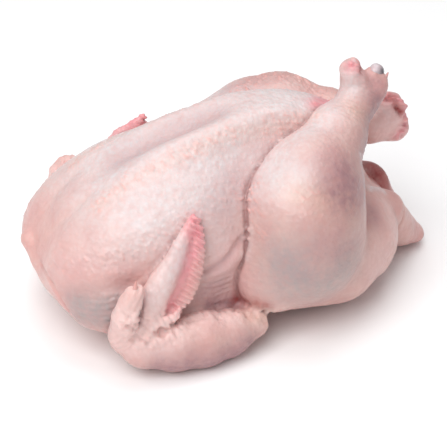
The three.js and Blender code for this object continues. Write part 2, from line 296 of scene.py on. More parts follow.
def leg(points, side, drumstick, knuckles):
    """Distance to a leg: thigh and drumstick, and the bare knuckles of its hock."""
    ends = [limb(points, knuckle) for knuckle in knuckles]
    flesh = joined([limb(points, on_side(side, THIGH), melt=10), limb(points, drumstick, melt=5), *ends], melt=4)
    if side == LEFT:
        facing = np.array(LEFT_HOCK_CUT["facing"]) / np.linalg.norm(LEFT_HOCK_CUT["facing"])
        flesh = -soft(-flesh, -(points - LEFT_HOCK_CUT["at"]) @ facing, melt=2)
    return soft(flesh, mass(points, **RUMP), RUMP_MELT)


def hand_across(side):
    """The direction straight through a hand's flat."""
    return (-0.15, side * 0.9, 0.35)


def wing(points, side):
    """Distance to a wing's outer joints: the forearm, and the hand with its web, its flap of skin and its thumb."""
    across = hand_across(side)
    forearm = limb(points, on_side(side, FOREARM))
    finger = limb(points, leaned(side, FINGER), 1, across, FINGER_SHARE)
    flap = limb(points, leaned(side, FLAP), 1, across, FLAP_SHARE)
    web = limb(points, leaned(side, WEB), 2, across, WEB_SHARE)
    curl = limb(points, on_side(side, CURL), melt=1)
    thumb = limb(points, on_side(side, THUMBS[side]), melt=1)
    hand = joined([soft(finger, web, melt=3), flap, curl], melt=1.2)
    return joined([forearm, joined([hand, thumb], melt=0.8)], melt=2.5)


def parts(points):
    """Distances to the torso, the two legs and the two wings."""
    x, y, z = points.T
    near_leg = [(x > LEG_FROM) & (side * y > -LEG_PAST) for side in (RIGHT, LEFT)]
    near_wing = [(x < WING_BEFORE) & (side * y > WING_OUT) & (z < WING_BELOW) for side in (RIGHT, LEFT)]
    right = local(lambda p: leg(p, RIGHT, RIGHT_DRUMSTICK, RIGHT_KNUCKLES), points, near_leg[0])
    left = local(lambda p: leg(p, LEFT, LEFT_DRUMSTICK, LEFT_KNUCKLES), points, near_leg[1])
    wings = [local(lambda p: wing(p, side), points, near) for side, near in zip((RIGHT, LEFT), near_wing)]
    return [torso(points), right, left, *wings]


def form(points):
    """Distance to the whole bird's skin."""
    return joined(parts(points), FOLD)


def in_folds(points, width):
    """How near points are to a fold where two parts meet, from 1 in it to 0. The rump has no such folds."""
    second_nearest = np.sort(parts(points), axis=0)[1]
    clear_of_rump = np.clip((RUMP_FROM - points[:, 0]) / RUMP_BLEND, 0, 1)
    return clear_of_rump * np.exp(-((np.maximum(second_nearest, 0) / width) ** 2))


def places(mesh):
    """The mesh's points in millimetres from the middle line."""
    flat = np.empty(len(mesh.vertices) * 3)
    mesh.vertices.foreach_get("co", flat)
    return (flat.reshape(-1, 3) - np.array(MIDDLE_LINE)) / MM


def put(mesh, points):
    """Moves the mesh's points to places in millimetres from the middle line."""
    mesh.vertices.foreach_set("co", (points * MM + np.array(MIDDLE_LINE)).ravel())
    mesh.update()


def drawn_on(points, steps):
    """Points drawn onto the form, by short steps down its slope. None goes below the floor."""
    for _ in range(steps):
        height = form(points)
        slope = np.stack([form(points + nudge) - height for nudge in NUDGE * np.eye(3)], 1) / NUDGE
        steepness = np.maximum((slope**2).sum(1), LEAST_STEEPNESS)
        move = slope * (height / steepness)[:, None]
        length = np.linalg.norm(move, axis=1, keepdims=True)
        points = points - move * np.minimum(1, LONGEST_MOVE / np.maximum(length, 1e-9))
        points[:, 2] = np.maximum(points[:, 2], 0)
    return points


def remeshed(piece, face):
    """Covers the piece anew with even faces of a size in millimetres."""
    remesh = piece.modifiers.new("even_faces", "REMESH")
    remesh.mode = "VOXEL"
    remesh.voxel_size = face * MM
    remesh.use_smooth_shade = True
    bpy.ops.object.modifier_apply(modifier=remesh.name)


def rough_mass(at, half, pitch=0):
    """A plump mass in the rough: a sphere drawn out to its size."""
    bpy.ops.mesh.primitive_uv_sphere_add(
        segments=48, ring_count=32, radius=MM, location=Vector(at) * MM + MIDDLE_LINE,
        rotation=(0, math.radians(pitch), 0), scale=half,
    )
    rough.append(bpy.context.object)


def rough_limb(balls, flat=(0, 0, 1), share=1.0):
    """A limb in the rough: a tube through its joints, as thick as its balls, pressed across the flat."""
    path = bpy.data.curves.new("limb", "CURVE")
    path.dimensions = "3D"
    path.bevel_depth = MM
    path.bevel_resolution = 3
    path.use_fill_caps = True
    line = path.splines.new("POLY")
    line.points.add(len(balls) - 1)
    for point, (x, y, z, radius) in zip(line.points, balls):
        point.co = (*(Vector((x, y, z)) * MM + MIDDLE_LINE), 1)
        point.radius = radius
    tube = bpy.data.objects.new("limb", path)
    bpy.context.scene.collection.objects.link(tube)
    bpy.context.view_layer.objects.active = tube
    tube.select_set(True)
    bpy.ops.object.convert(target="MESH")
    centres = np.array(balls)[:, :3]
    across = np.array(flat) / np.linalg.norm(flat)
    points = places(tube.data)
    joint = centres[np.linalg.norm(points[:, None] - centres, axis=2).argmin(1)]
    put(tube.data, points - np.outer((points - joint) @ across, across) * (1 - share))
    rough.append(tube)
    for x, y, z, radius in (balls[0], balls[-1]):
        rough_mass((x, y, z), [radius * share] * 3)


rough = []
for shape in (BELLY, BACK, RUMP):
    rough_mass(**shape)
for balls in (RIGHT_DRUMSTICK, *RIGHT_KNUCKLES, LEFT_DRUMSTICK, *LEFT_KNUCKLES, NECK_SKIN, NECK_FLAP):
    rough_limb(balls)
rough_limb(TAIL, share=TAIL_SHARE)
for side in (RIGHT, LEFT):
    rough_mass(**on(side, BREAST_LOBE))
    rough_mass(**on(side, CREST))
    for balls in (VENT_LIPS[side], THIGH, UPPER_ARM, FOREARM, CURL, THUMBS[side]):
        rough_limb(on_side(side, balls))
    rough_limb(leaned(side, FINGER), hand_across(side), FINGER_SHARE)
    rough_limb(leaned(side, FLAP), hand_across(side), FLAP_SHARE)
    rough_limb(leaned(side, WEB), hand_across(side), WEB_SHARE)
for piece in rough:
    piece.select_set(True)
bird = rough[0]
bpy.context.view_layer.objects.active = bird
bpy.ops.object.join()
bpy.ops.object.transform_apply(location=True, rotation=True, scale=True)
bird.name = "bird"
# Covered and drawn onto the form three times over, so that the faces end up even.
for steps in (5, 4, 4):
    remeshed(bird, SKIN_FACE)
    put(bird.data, drawn_on(places(bird.data), steps))

LAID_STEP = 5


def laid(points, line):
    """A line of places laid on the skin: each place, and more between them, moves to the nearest of the points."""
    line = np.array(line, float)
    if len(line) == 1:
        return points[np.linalg.norm(points - line[0], axis=1).argmin()][None]
    stops = [line[0]]
    for start, end in zip(line, line[1:]):
        count = max(1, round(np.linalg.norm(end - start) / LAID_STEP))
        stops += [start + (end - start) * i / count for i in range(1, count + 1)]
    return np.array([points[np.linalg.norm(points - stop, axis=1).argmin()] for stop in stops])


def along(points, line, width):
    """How near the points are to a line through places, from 1 on it to 0, with a soft edge."""
    line = np.array(line, float)
    reach = 3 * width
    near = ((points > line.min(0) - reach) & (points < line.max(0) + reach)).all(1)
    best = np.full(near.sum(), np.inf)
    for start, end in zip(line, line[1:] if len(line) > 1 else line):
        axis = end - start
        share = np.clip((points[near] - start) @ axis / max(axis @ axis, 1e-9), 0, 1)
        best = np.minimum(best, np.linalg.norm(points[near] - start - share[:, None] * axis, axis=1))
    nearness = np.zeros(len(points))
    nearness[near] = np.exp(-((best / width) ** 2))
    return nearness


def both(line):
    """A line given for the right side, and the same line on the left."""
    return [line, [(x, -y, z) for x, y, z in line]]


def middles(balls):
    """The middles of a limb's balls."""
    return [ball[:3] for ball in balls]


def each(lines, *values):
    """The same values given to each of some lines."""
    return [(line, *values) for line in lines]


# Lines through places on the skin, on both sides of the bird: creases, folds, ridges and tracts of feathers.
LEG_CREASES = both([(66, -20, 118), (55, -26, 120), (43, -24, 114), (30, -29, 112), (19, -34, 107), (12, -38, 100),
                    (3, -47, 93), (-3, -53, 85), (-6, -57, 79), (-6.5, -59, 69), (-7.5, -59, 53), (-7.5, -59, 39),
                    (-11, -62, 33)])
FAT_BITS = both([(8, -45, 97), (2, -50, 90), (-3, -55, 82), (-4, -58, 74), (-5, -60, 66), (-5, -61, 58)])
FLANK_FOLDS = both([(-7, -58.6, 70), (-11, -60, 67), (-15, -61, 62.6), (-20, -61, 59), (-26, -62, 57),
                    (-31, -62, 55.6)])
FLANK_SWELLS = both([(-8, -60, 61), (-14, -60, 56), (-20, -61, 52), (-28, -62, 51)])
ARMPITS = both([(-99, -52, 52), (-92, -56.5, 54), (-85.6, -58.6, 56), (-79, -60, 57), (-73, -60, 57)])
TRACTS = both([(54, -22, 122), (45, -19, 117), (31, -21, 117), (15, -22, 118), (0, -22, 119), (-16, -23, 117),
               (-32, -25, 113), (-51, -26, 109), (-69, -26, 103), (-84, -27, 95)])
LOW_TRACTS = both([(-9, -46, 96), (-16, -50, 93), (-26, -53, 90), (-39, -59, 89), (-56, -56, 79), (-73, -55, 74),
                   (-90, -51, 69), (-101, -44, 66), (-110, -32, 62)])
THUMB_EDGES = both([(-70, -68, 55), (-71.3, -70.5, 52), (-72.7, -72.5, 48.5), (-74.2, -73.2, 44), (-75.2, -74, 40)])
WRISTS = both([(-84, -81, 47), (-75, -74, 34), (-68, -77, 30), (-60, -78, 34)])
FOREARM_TOPS = both([(-62, -76, 34), (-49, -71, 33), (-33, -69, 33), (-16, -71, 29), (1, -71, 23)])
LEG_FRONTS = both([(4, -48.5, 95), (0, -51, 91), (-1, -57, 86), (-0.3, -62.5, 82.4), (1, -68, 76.6)])
# Wrinkles at several heights.
FLANK_WRINKLES = {z: both([(-33, -63, z + 1), (-24, -62, z - 1), (-14, -61, z)]) for z in (50, 46, 42, 38.5, 35)}
ARMPIT_WRINKLES = {z: both([(-103, -48, z - 1), (-97, -55, z), (-90, -60, z + 1), (-82, -61, z + 3)])
                   for z in (48, 44.5, 41, 37, 33.5, 30)}
NECK_WRINKLES = {z: both([(-114, -28, z), (-106, -42, z - 2), (-98, -52, z - 3)]) for z in (62, 55, 48)}
# Lines that only one side has, or that run along the middle.
NECK_FOLD = [(-116, -8, 48), (-116.8, -24, 50), (-114.7, -32, 46), (-111.4, -36, 40), (-107.7, -38.3, 32)]
VALLEY_FLOOR = [(-60, 0, 103), (-34, 0, 110), (-16, 0, 114), (-1, 0, 116)]
KEEL_LUMPS = [(70, 6, 112), (76, 6, 110), (80, 12, 105)]
HOCK_NECK = [(70, -30, 118), (80, -20, 120), (88, -16, 124)]
HOCK_PIT = [(87.2, -11.4, 139.3)]
HOCK_TOP = [(79, -10, 142.5), (82, -11, 142.5), (85, -11, 141.5)]
HOCK_FORK = [(98, -9, 130)]
TAIL_CREASE = [(116, -22, 40), (113, -25, 34), (108, -26, 25), (104, -26, 14)]
SHANK_REAR = [(95, -21, 112), (80, -38, 100), (77, -44, 88), (74, -50, 72)]
FAR_CUT = [(116.7, 12, 105), (120.2, 11, 104.6), (124, 9.5, 102.5), (127.5, 9, 96), (129.5, 10.5, 88), (128, 10, 82),
           (125, 8, 78)]
FAR_PIT = [(121, 5, 99.5), (124, 5.5, 94.5)]
NEAR_LIP = [(90.5, -23, 63.5), (95, -20.3, 61.6), (100.2, -18.4, 59.5), (104.4, -18.3, 57.5)]
REAR_RIM = [(71, -48, 104), (69.6, -55, 97), (68.4, -61, 88.5), (65, -68, 83)]
LEG_PIMPLES = [(22, -71, 100), (28, -74, 99), (35, -78, 95), (44, -77, 94), (52, -78, 86)]
FAR_LEG_TOP = [(38, 50, 109), (49.6, 54.5, 110), (58, 50, 112), (65.6, 44.6, 111.6), (73, 38.8, 109), (78, 33, 106)]
# Lines along the two hands, right and left. The crease along a finger is given as balls too, so that it leans with it.
FINGER_EDGE = [(-66.9, 61, 55.3, 0), (-62.9, 60.2, 60, 0), (-58.4, 59.7, 66, 0), (-53.2, 58.6, 72.8, 0),
               (-47.7, 56.9, 78.5, 0)]
FINGER_LINES, FLAP_LINES, WEB_LINES, FINGER_EDGES = [
    [middles(leaned(side, balls)) for side in (RIGHT, LEFT)] for balls in (FINGER, FLAP, WEB, FINGER_EDGE)
]
THUMB_LINES = [middles(on_side(side, THUMBS[side])) for side in (RIGHT, LEFT)]

# The faces that carry fine folds are split in four and drawn onto the form once more, the finest ones twice. Each line
# has the width within which it asks for them.
FINE = [
    *each(TRACTS + LOW_TRACTS, 5.0), *each([LEG_PIMPLES, *LEG_FRONTS, FAR_LEG_TOP], 7.0),
    *each([*LEG_CREASES, *FLANK_FOLDS, NECK_FOLD], 4.0), *each([NEAR_LIP, REAR_RIM, TAIL_CREASE], 3.0),
    *each(ARMPIT_WRINKLES[41] + FLANK_WRINKLES[42], 8.0), *each(WRISTS, 9.0),
    *each([HOCK_NECK, HOCK_TOP, HOCK_FORK], 12.0), (FAR_CUT, 8.0), (KEEL_LUMPS, 5.0),
    *each(FINGER_LINES, 8.0), *each(FLAP_LINES, 6.0), *each(WEB_LINES, 7.0), *each(THUMB_LINES, 9.0),
]
FINEST = [*each(FLAP_LINES, 5.0), (HOCK_TOP, 7.0), (FAR_CUT, 5.0), *each(FAT_BITS, 2.5)]
# How near a point is to a line that lies the line's own width away.
A_WIDTH_AWAY = 0.37


def finer(piece, lines):
    """Splits the piece's faces in four where they lie near lines."""
    points = places(piece.data)
    near = np.max([along(points, laid(points, line), width) for line, width in lines], axis=0) > A_WIDTH_AWAY
    bpy.ops.object.mode_set(mode="EDIT")
    bpy.ops.mesh.select_mode(type="FACE")
    bpy.ops.mesh.select_all(action="DESELECT")
    bpy.ops.object.mode_set(mode="OBJECT")
    corners = np.empty(len(piece.data.loops), int)
    piece.data.loops.foreach_get("vertex_index", corners)
    first_corners = np.empty(len(piece.data.polygons), int)
    piece.data.polygons.foreach_get("loop_start", first_corners)
    piece.data.polygons.foreach_set("select", np.logical_and.reduceat(near[corners], first_corners))
    bpy.ops.object.mode_set(mode="EDIT")
    bpy.ops.mesh.subdivide(number_cuts=1, quadcorner="INNERVERT")
    bpy.ops.object.mode_set(mode="OBJECT")


for lines in (FINE, FINEST):
    finer(bird, lines)
    put(bird.data, drawn_on(places(bird.data), steps=2))

GRAIN_CELLS = 24
grain = np.random.default_rng(7).random([GRAIN_CELLS] * 3)


def uneven(points, size):
    """A smooth random swell from -1 to 1, with lumps of a size in millimetres."""
    cells = np.floor(points / size).astype(int)
    share = points / size - cells
    share = share * share * (3 - 2 * share)
    swell = np.zeros(len(points))
    for corner in np.ndindex(2, 2, 2):
        x, y, z = ((cells + corner) % GRAIN_CELLS).T
        swell += grain[x, y, z] * np.where(corner, share, 1 - share).prod(1)
    return 2 * swell - 1


def pleats(points, direction, pitch, wander=0.6):
    """Fine parallel pleats of the skin, a pitch apart along a direction, that wander a little."""
    drift = uneven(points, 5 * pitch) * wander + uneven(points, 12 * pitch) * wander
    return np.sin(2 * np.pi * (points @ np.array(direction, float) / pitch + drift))


BUMP_PITCH = 3.6
BUMP_ROWS = [(0.75, 0.1, 0.65), (0.5, 0.5, -0.7)]


def goose_bumps(points):
    """The bumps of the plucked feather tracts, from 0 between them to 1 on them: uneven, in rows that cross."""
    rows, crossing_rows = [pleats(points, direction, BUMP_PITCH, wander=0.3) for direction in BUMP_ROWS]
    return np.clip(0.6 * rows * crossing_rows + 0.9 * uneven(points, size=2.2), 0, 1)


def lumps(points):
    """Scattered lumps, from 0 between them to 1 on them, 2.6 mm in size."""
    return np.clip(uneven(points, 2.6), 0, 1)


def even(points):
    """No pattern: the same height all along a line."""
    return 1.0


def swelling(points, swells):
    """How far points stand out by swells, each given by the size of its lumps and its height."""
    return sum(height * uneven(points, size) for size, height in swells)


# The loose skin's own swells: the size of their lumps and their height. Then the folds where parts meet: their depth,
# the distance over which it changes, and their width.
SWELLS = [(34, 0.9), (12, 0.35), (4, 0.12)]
FOLD_DEPTH, FOLD_CHANGES, FOLD_WIDTH = 1.2, 9, 1.1
# What stands out along lines laid on the skin, or is pressed in where its height is below zero: the lines, the width
# and the height in millimetres, and the pattern that breaks the height up.
RELIEF = [
    # The plucked feather tracts, and the ragged bits of fat along the leg's front edge.
    (TRACTS, 9, 0.65, goose_bumps),
    (LOW_TRACTS, 12, 0.6, goose_bumps),
    (FAT_BITS, 2.2, 2.6, lumps),
    # The slack skin of the flanks, the armpits and the neck.
    (FLANK_FOLDS, 1.8, -1.4, even),
    (FLANK_SWELLS, 4, 1.3, even),
    (ARMPITS, 4.5, -2.4, even),
    (sum(FLANK_WRINKLES.values(), []), 1.1, -0.5, even),
    (sum(ARMPIT_WRINKLES.values(), []), 1.2, -0.7, even),
    ([NECK_FOLD], 1.5, -1.6, even),
    (sum(NECK_WRINKLES.values(), []), 1.5, -0.5, even),
    # The keel's tip.
    ([KEEL_LUMPS], 3.0, 2.2, lumps),
    # The puckered skin of the wings, and the creases beside their fingers and thumbs.
    (WRISTS, 8, 2.6, partial(uneven, size=4)),
    (WRISTS, 8, 0.5, partial(pleats, direction=(0.6, 0.2, 0.75), pitch=3.4, wander=0.9)),
    (FOREARM_TOPS, 9, 0.5, partial(pleats, direction=(1.0, 0.1, 0.2), pitch=3.4, wander=0.7)),
    (FOREARM_TOPS, 8, 1.8, partial(uneven, size=4.5)),
    (FINGER_EDGES, 1.4, -0.5, even),
    (THUMB_EDGES, 1.1, -1.2, even),
    # The near hock: rings on its neck, torn lumps and a pit on its top, and the sinew down its rear.
    ([HOCK_NECK], 9, 0.22, partial(pleats, direction=(0.55, 0.35, 0.75), pitch=2.6)),
    ([HOCK_TOP], 4, 1.6, lumps),
    ([HOCK_TOP], 9, 1.6, partial(uneven, size=5)),
    ([HOCK_PIT], 2.2, -3.4, even),
    ([SHANK_REAR], 1.5, 0.5, even),
    # The far hock's torn rim and its pit.
    ([FAR_CUT], 4, 2.8, partial(uneven, size=4)),
    ([FAR_CUT], 4, 0.7, partial(pleats, direction=(0.2, 0.5, 0.8), pitch=3.8, wander=0.6)),
    ([FAR_PIT], 1.7, -3.2, even),
    # The tail's crease, the vent's near lip, and the edge behind the near thigh.
    ([TAIL_CREASE], 1.8, -2.0, even),
    ([NEAR_LIP], 1.6, 1.2, even),
    ([REAR_RIM], 1.6, 0.9, even),
    # The legs' goose bumps.
    ([FAR_LEG_TOP], 10, 1.6, goose_bumps),
    ([LEG_PIMPLES, *LEG_FRONTS], 7, 0.4, goose_bumps),
]
# The same round the middle lines of the flaps and the thumbs, which are not laid on the skin first.
HAND_RELIEF = [
    (FLAP_LINES, 4.5, 0.9, partial(pleats, direction=(0.55, 0.1, 0.83), pitch=3.2, wander=0.3)),
    (THUMB_LINES, 8, 0.6, partial(pleats, direction=(0.8, 0.1, -0.6), pitch=3.4, wander=0.3)),
]


def relief(points):
    """How far the skin stands out from the plain form, in millimetres."""
    rise = swelling(points, SWELLS)
    rise -= (FOLD_DEPTH + uneven(points, FOLD_CHANGES)) * in_folds(points, FOLD_WIDTH)
    rows = [([laid(points, line) for line in lines], *rest) for lines, *rest in RELIEF]
    for lines, width, height, pattern in rows + HAND_RELIEF:
        rise += height * np.max([along(points, line, width) for line in lines], axis=0) * pattern(points)
    return rise


def normals(mesh):
    """The mesh's normals at its points."""
    flat = np.empty(len(mesh.vertices) * 3)
    mesh.vertices.foreach_get("normal", flat)
    return flat.reshape(-1, 3)


ON_FLOOR = 0.02
plain = places(bird.data)
raised = plain + normals(bird.data) * relief(plain)[:, None]
raised[:, 2] = np.maximum(raised[:, 2], 0)
raised[plain[:, 2] < ON_FLOOR, 2] = 0
put(bird.data, raised)

# Where the skin's colour changes: lines through places on it, each with a width in millimetres and a strength from 0
# to 1. Zones that overlap add up, and those that are given twice are stronger for it.
ZONES = {
    # White fat under the skin: the breast, the front of the legs, the flanks, and the joints of the wings and hocks.
    # It is also painted highlight where the light falls: on the breast, the near leg, the feet of the fingers, the
    # wrists, the forearms' tops and the vent's near lip.
    "pale": [
        ([(79, -12, 138), (81, -14, 130)], 7, 0.8),
        ([(113, 7, 96), (114, 5, 90)], 10, 0.9),
        ([(84.1, -12.2, 141.3)], 1.2, 1.0),
        ([(83.8, -8.9, 143.7)], 1.5, 1.0),
        ([(85.3, -11.5, 141.4)], 1.0, 1.0),
        *each(both([(-7, -62, 60), (-5, -60, 74)]), 3, 0.5),
        *each(both([(-62, -20, 100), (-40, -20, 108), (10, -18, 118), (50, -8, 116)]), 26, 0.95),
        *each(both([(-90, -22, 88), (-62, -20, 100)]), 22, 0.5),
        *each(both([(-60, -50, 86), (-50, -50, 88), (-20, -42, 100), (10, -30, 108)]), 20, 0.8),
        *each(both([(17, -49, 104), (23, -60, 99)]), 16, 0.85),
        *each(both([(56, -26, 122), (40, -30, 116)]), 10, 0.8),
        *each(both([(-66.2, -71.1, 56), (-71.3, -73.3, 49.2)]), 5, 0.9),
        *each(both([(-21, -60.3, 70.5), (-24, -62, 50)]), 12, 0.6),
        *each([line[:5] for line in FINGER_LINES], 7, 0.9),
        *each(WRISTS, 11, 0.7),
        *each(FOREARM_TOPS, 7, 0.6),
        *each(LOW_TRACTS, 14, 0.35),
        # Painted highlight along the vent's near lip.
        *each([NEAR_LIP] * 2, 2.2, 1.0),
        *each([REAR_RIM] * 2, 2, 0.8),
    ],
    # Light rose where the skin lies thin over white bone and sinew: the wings' joints, the far hock and the thighs. On
    # the wrists, the forearms' tops and the far hock's face it is also painted light, brightening faces that the light
    # falls on.
    "rosy_and_painted_light": [
        *each(FOREARM_TOPS, 12, 0.9),
        *each(WRISTS, 12, 1.0),
        *each(THUMB_LINES, 9, 0.6),
        *each([line[:3] for line in FINGER_LINES], 8, 0.3),
        # Painted light on the far hock's lit face.
        *each([[(112, 14, 84), (118, 12, 80)]] * 2, 12, 0.6),
        *each(both([(94, -38.5, 56), (97, -48, 43), (76, -64, 40)]), 16, 0.5),
    ],
    # Salmon where the skin is thick or chafed: the neck, the flanks, the legs' creases, the forearms, the tail and
    # round the hocks.
    "blush": [
        ([(-114, 20, 65), (-114, 0, 60), (-112, -28, 68), (-108, -38, 55)], 20, 0.3),
        ([(-108, -34, 32), (-95, -57, 38), (-80, -62, 45)], 12, 0.5),
        ([(-101, -47, 62), (-84, -58, 62), (-66, -60, 66), (-45, -60, 76)], 11, 0.2),
        ([(126, 0, 22), (138, 0, 10)], 18, 0.7),
        ([(-24, -62, 72), (-20, -62, 55), (-24, -63, 43)], 13, 0.15),
        ([(109, 8, 80), (118, 10, 92)], 14, 0.4),
        ([(91, -8, 124), (84, -8, 138)], 12, 0.12),
        ([(40, -20, 116), (12, -28, 108), (-4, -44, 96)], 9, 0.25),
        ([(86, -57, 40), (95, -45, 48), (103, -25, 52)], 20, 0.25),
        ([(99, -12, 126), (96, -14, 118)], 7, 0.7),
        ([(-18.6, -61, 59), (-14, -60, 65.5), (-25, -62, 55)], 9, 0.35),
        *each(both(middles(on_side(RIGHT, FOREARM))), 20, 0.12),
    ],
    # Coral where it is thin and full of blood: the hands, the keel's tip, the hocks' ends and the vent's far side.
    "coral": [
        ([(81.2, -10.5, 142.9)], 2.6, 0.9),
        ([(61, -9.3, 119.2), (66, -2, 115), (72, 3, 109)], 7, 0.9),
        (KEEL_LUMPS, 6, 0.6),
        (FAR_CUT, 5, 0.8),
        (HOCK_TOP, 5, 0.6),
        ([(110, 22, 72), (122, 20, 68)], 8, 0.8),
        ([(112, 22, 51), (119, 16, 38)], 9, 0.8),
        (middles(leaned(LEFT, FINGER))[3:], 11, 0.9),
        *each(FLAP_LINES, 5, 0.25),
        *each([line[:3] for line in FLAP_LINES], 4, 0.55),
        *each([line[-2:] for line in FINGER_LINES], 5, 0.8),
        *each([line[1:] for line in WEB_LINES], 5.4, 0.8),
        *each(TRACTS, 7, 0.08),
    ],
    # Yellow fat: under the feather tracts, along the top of the near leg and beside the forearm's end.
    "fat": [
        ([(35, -72, 95), (52, -72, 91)], 5, 0.5),
        (LEG_PIMPLES, 9, 0.4),
        ([(-3, -70, 22), (1, -70, 20)], 9, 0.4),
        ([(85, -31, 118), (76, -26, 120)], 8, 0.3),
        *each(TRACTS, 6, 0.2),
    ],
    # A mauve veil where dark meat shows through thin skin, on the legs and round the hocks, where it also deepens
    # their sides that face away from the light as painted shade. Elsewhere it is painted shade: in the breast's
    # valley, which is also mauve, beside the near leg, in the deep creases and wrinkles, under and low on the flanks,
    # along the forearms' undersides and beside the fingers and thumbs.
    "veil_and_painted_shade": [
        # Partly painted shade: the valley between the breast's crests.
        (VALLEY_FLOOR, 11, 0.45),
        ([(52, -66, 105), (54, -70, 96), (46, -71, 97)], 17, 0.8),
        # Painted shade on the breast beside the near leg.
        ([(-15, -52, 91), (-5, -44, 98)], 14, 0.35),
        ([(10, -80, 63), (18, -85, 57)], 9, 0.6),
        ([(84, -42, 60), (82, -45, 56)], 8, 0.5),
        (SHANK_REAR, 12, 1.0),
        ([(30, 52, 107), (57, 49, 112)], 14, 0.3),
        ([(48, -72, 92), (56, -68, 96)], 12, 0.6),
        ([(96, -15.5, 129), (94, -18, 116)], 7, 0.5),
        ([(30, -88, 72), (46, -85, 66)], 14, 0.4),
        # Painted shade low on the near flank.
        ([(-20, -66, 44), (-34, -66, 42)], 8, 0.4),
        # Painted shade in the wrinkles of the armpits and the flanks.
        *each(ARMPIT_WRINKLES[41], 10, 0.4),
        *each(FLANK_WRINKLES[38.5], 8, 0.3),
        # Painted shade under the flanks, behind the forearms.
        *each(both([(-28, -60, 30), (-14, -58, 27), (-3, -55, 23)]), 5, 1.0),
        # Painted shade along the forearms' undersides.
        *each(both([(-66, -84, 8), (-40, -84, 8), (-12, -84, 8)]), 11, 1.0),
        # Painted shade beside the thumbs and fingers, and in the flanks' folds.
        *each(THUMB_EDGES, 2, 0.8),
        *each(FINGER_EDGES, 2, 0.3),
        *each(FLANK_FOLDS, 2, 0.35),
    ],
    # Dusky grey where dark meat lies deep under fat, deepened as painted shade: on the near thigh's lower side, and in
    # the wrinkles of the near armpit.
    "dusky_and_painted_shade": [
        (ARMPIT_WRINKLES[44.5][0], 9, 0.7),
        (ARMPIT_WRINKLES[33.5][0], 9, 0.7),
        ([(10, -80, 63), (14, -83, 50), (30, -88, 45), (44, -87, 50)], 20, 0.7),
    ],
    # Raw red where flesh or blood shows: the foot of the leg's crease, the vent, and the pits and cuts of the hocks.
    "raw": [
        ([(-9.5, -57.8, 29), (-5, -55, 23.5)], 3, 1.0),
        ([(-4, -60, 33), (5, -71, 34)], 5, 0.6),
        (HOCK_PIT, 2.6, 1.0),
        ([(85.6, -13, 139.2)], 1.7, 0.9),
        ([(110, 11, 54), (114, 11, 51), (109, 9.7, 49)], 8, 0.8),
        ([(92, 0, 38), (112, 0, 44)], 9, 0.8),
        (FAR_PIT, 2.6, 1.0),
        (FAR_CUT[:2], 5, 0.6),
    ],
}
# The bumps of the feather tracts are redder than the skin between them.
RED_BUMPS = [
    *each(TRACTS, 10, 0.6), *each(LOW_TRACTS, 14, 0.32), *each(LEG_FRONTS, 7, 0.9), (FAR_LEG_TOP, 11, 1.0),
    (LEG_PIMPLES, 9, 0.5),
]
FOLD_SHADE_WIDTH = 1.4


def zoned(piece, zones):
    """How strongly zones show at each of the piece's points, from 0 to 1."""
    points = places(piece.data)
    spared = [1 - share * along(points, laid(points, line), width) for line, width, share in zones]
    return 1 - np.prod(spared, axis=0)


def marked(piece, name, strengths):
    """Writes a strength at each of the piece's points."""
    piece.data.attributes.new(name, "FLOAT", "POINT").data.foreach_set("value", strengths)


for name, zones in ZONES.items():
    marked(bird, name, zoned(bird, zones))
marked(bird, "bumps", zoned(bird, RED_BUMPS) * goose_bumps(plain))
# Painted shade: the tight folds where the legs and wings press on the body are darkened.
marked(bird, "fold", in_folds(plain, FOLD_SHADE_WIDTH))

# Fresh raw chicken skin, plucked and chilled: thin, moist and slightly translucent over pale flesh, so light goes
# in and comes out warm, and the film of water on it gives a broad soft sheen. The fat marbles it 14 mm across and
# mottles it 4 mm across, the grease lies in patches of 9 mm, the follicles are 2.8 mm apart and the wrinkles 1.5 mm.
skin, tree = new_material("raw_chicken_skin")
PER_MM = 1000.0
# The sockets of a Mix node that hold its two colours, and its result.
MIX_A, MIX_B, MIX_RESULT = 6, 7, 2
coordinates = add_node(tree, "TexCoord").outputs["Object"]
marbling = add_node(tree, "TexNoise", {"Vector": coordinates, "Scale": PER_MM / 14.0, "Detail": 3.0})
mottle = add_node(tree, "TexNoise", {"Vector": coordinates, "Scale": PER_MM / 4.0, "Detail": 4.0})
follicles = add_node(
    tree, "TexVoronoi", {"Vector": coordinates, "Scale": PER_MM / 2.8, "Randomness": 0.8}, feature="SMOOTH_F1",
)
grease = add_node(tree, "TexNoise", {"Vector": coordinates, "Scale": PER_MM / 9.0, "Detail": 3.0})
fine_wrinkles = add_node(tree, "TexNoise", {"Vector": coordinates, "Scale": PER_MM / 1.5, "Detail": 4.0})
marbled = add_node(tree, "MapRange", {"Value": marbling.outputs["Fac"], "From Min": 0.35, "From Max": 0.7})
broken = add_node(
    tree, "MapRange",
    {"Value": mottle.outputs["Fac"], "From Min": 0.3, "From Max": 0.7, "To Min": 0.7, "To Max": 1.1},
)
colour = add_node(
    tree, "Mix", {"Factor": marbled.outputs["Result"], MIX_A: linear("#dab2aa"), MIX_B: linear("#ce9f9a")},
    data_type="RGBA",
)
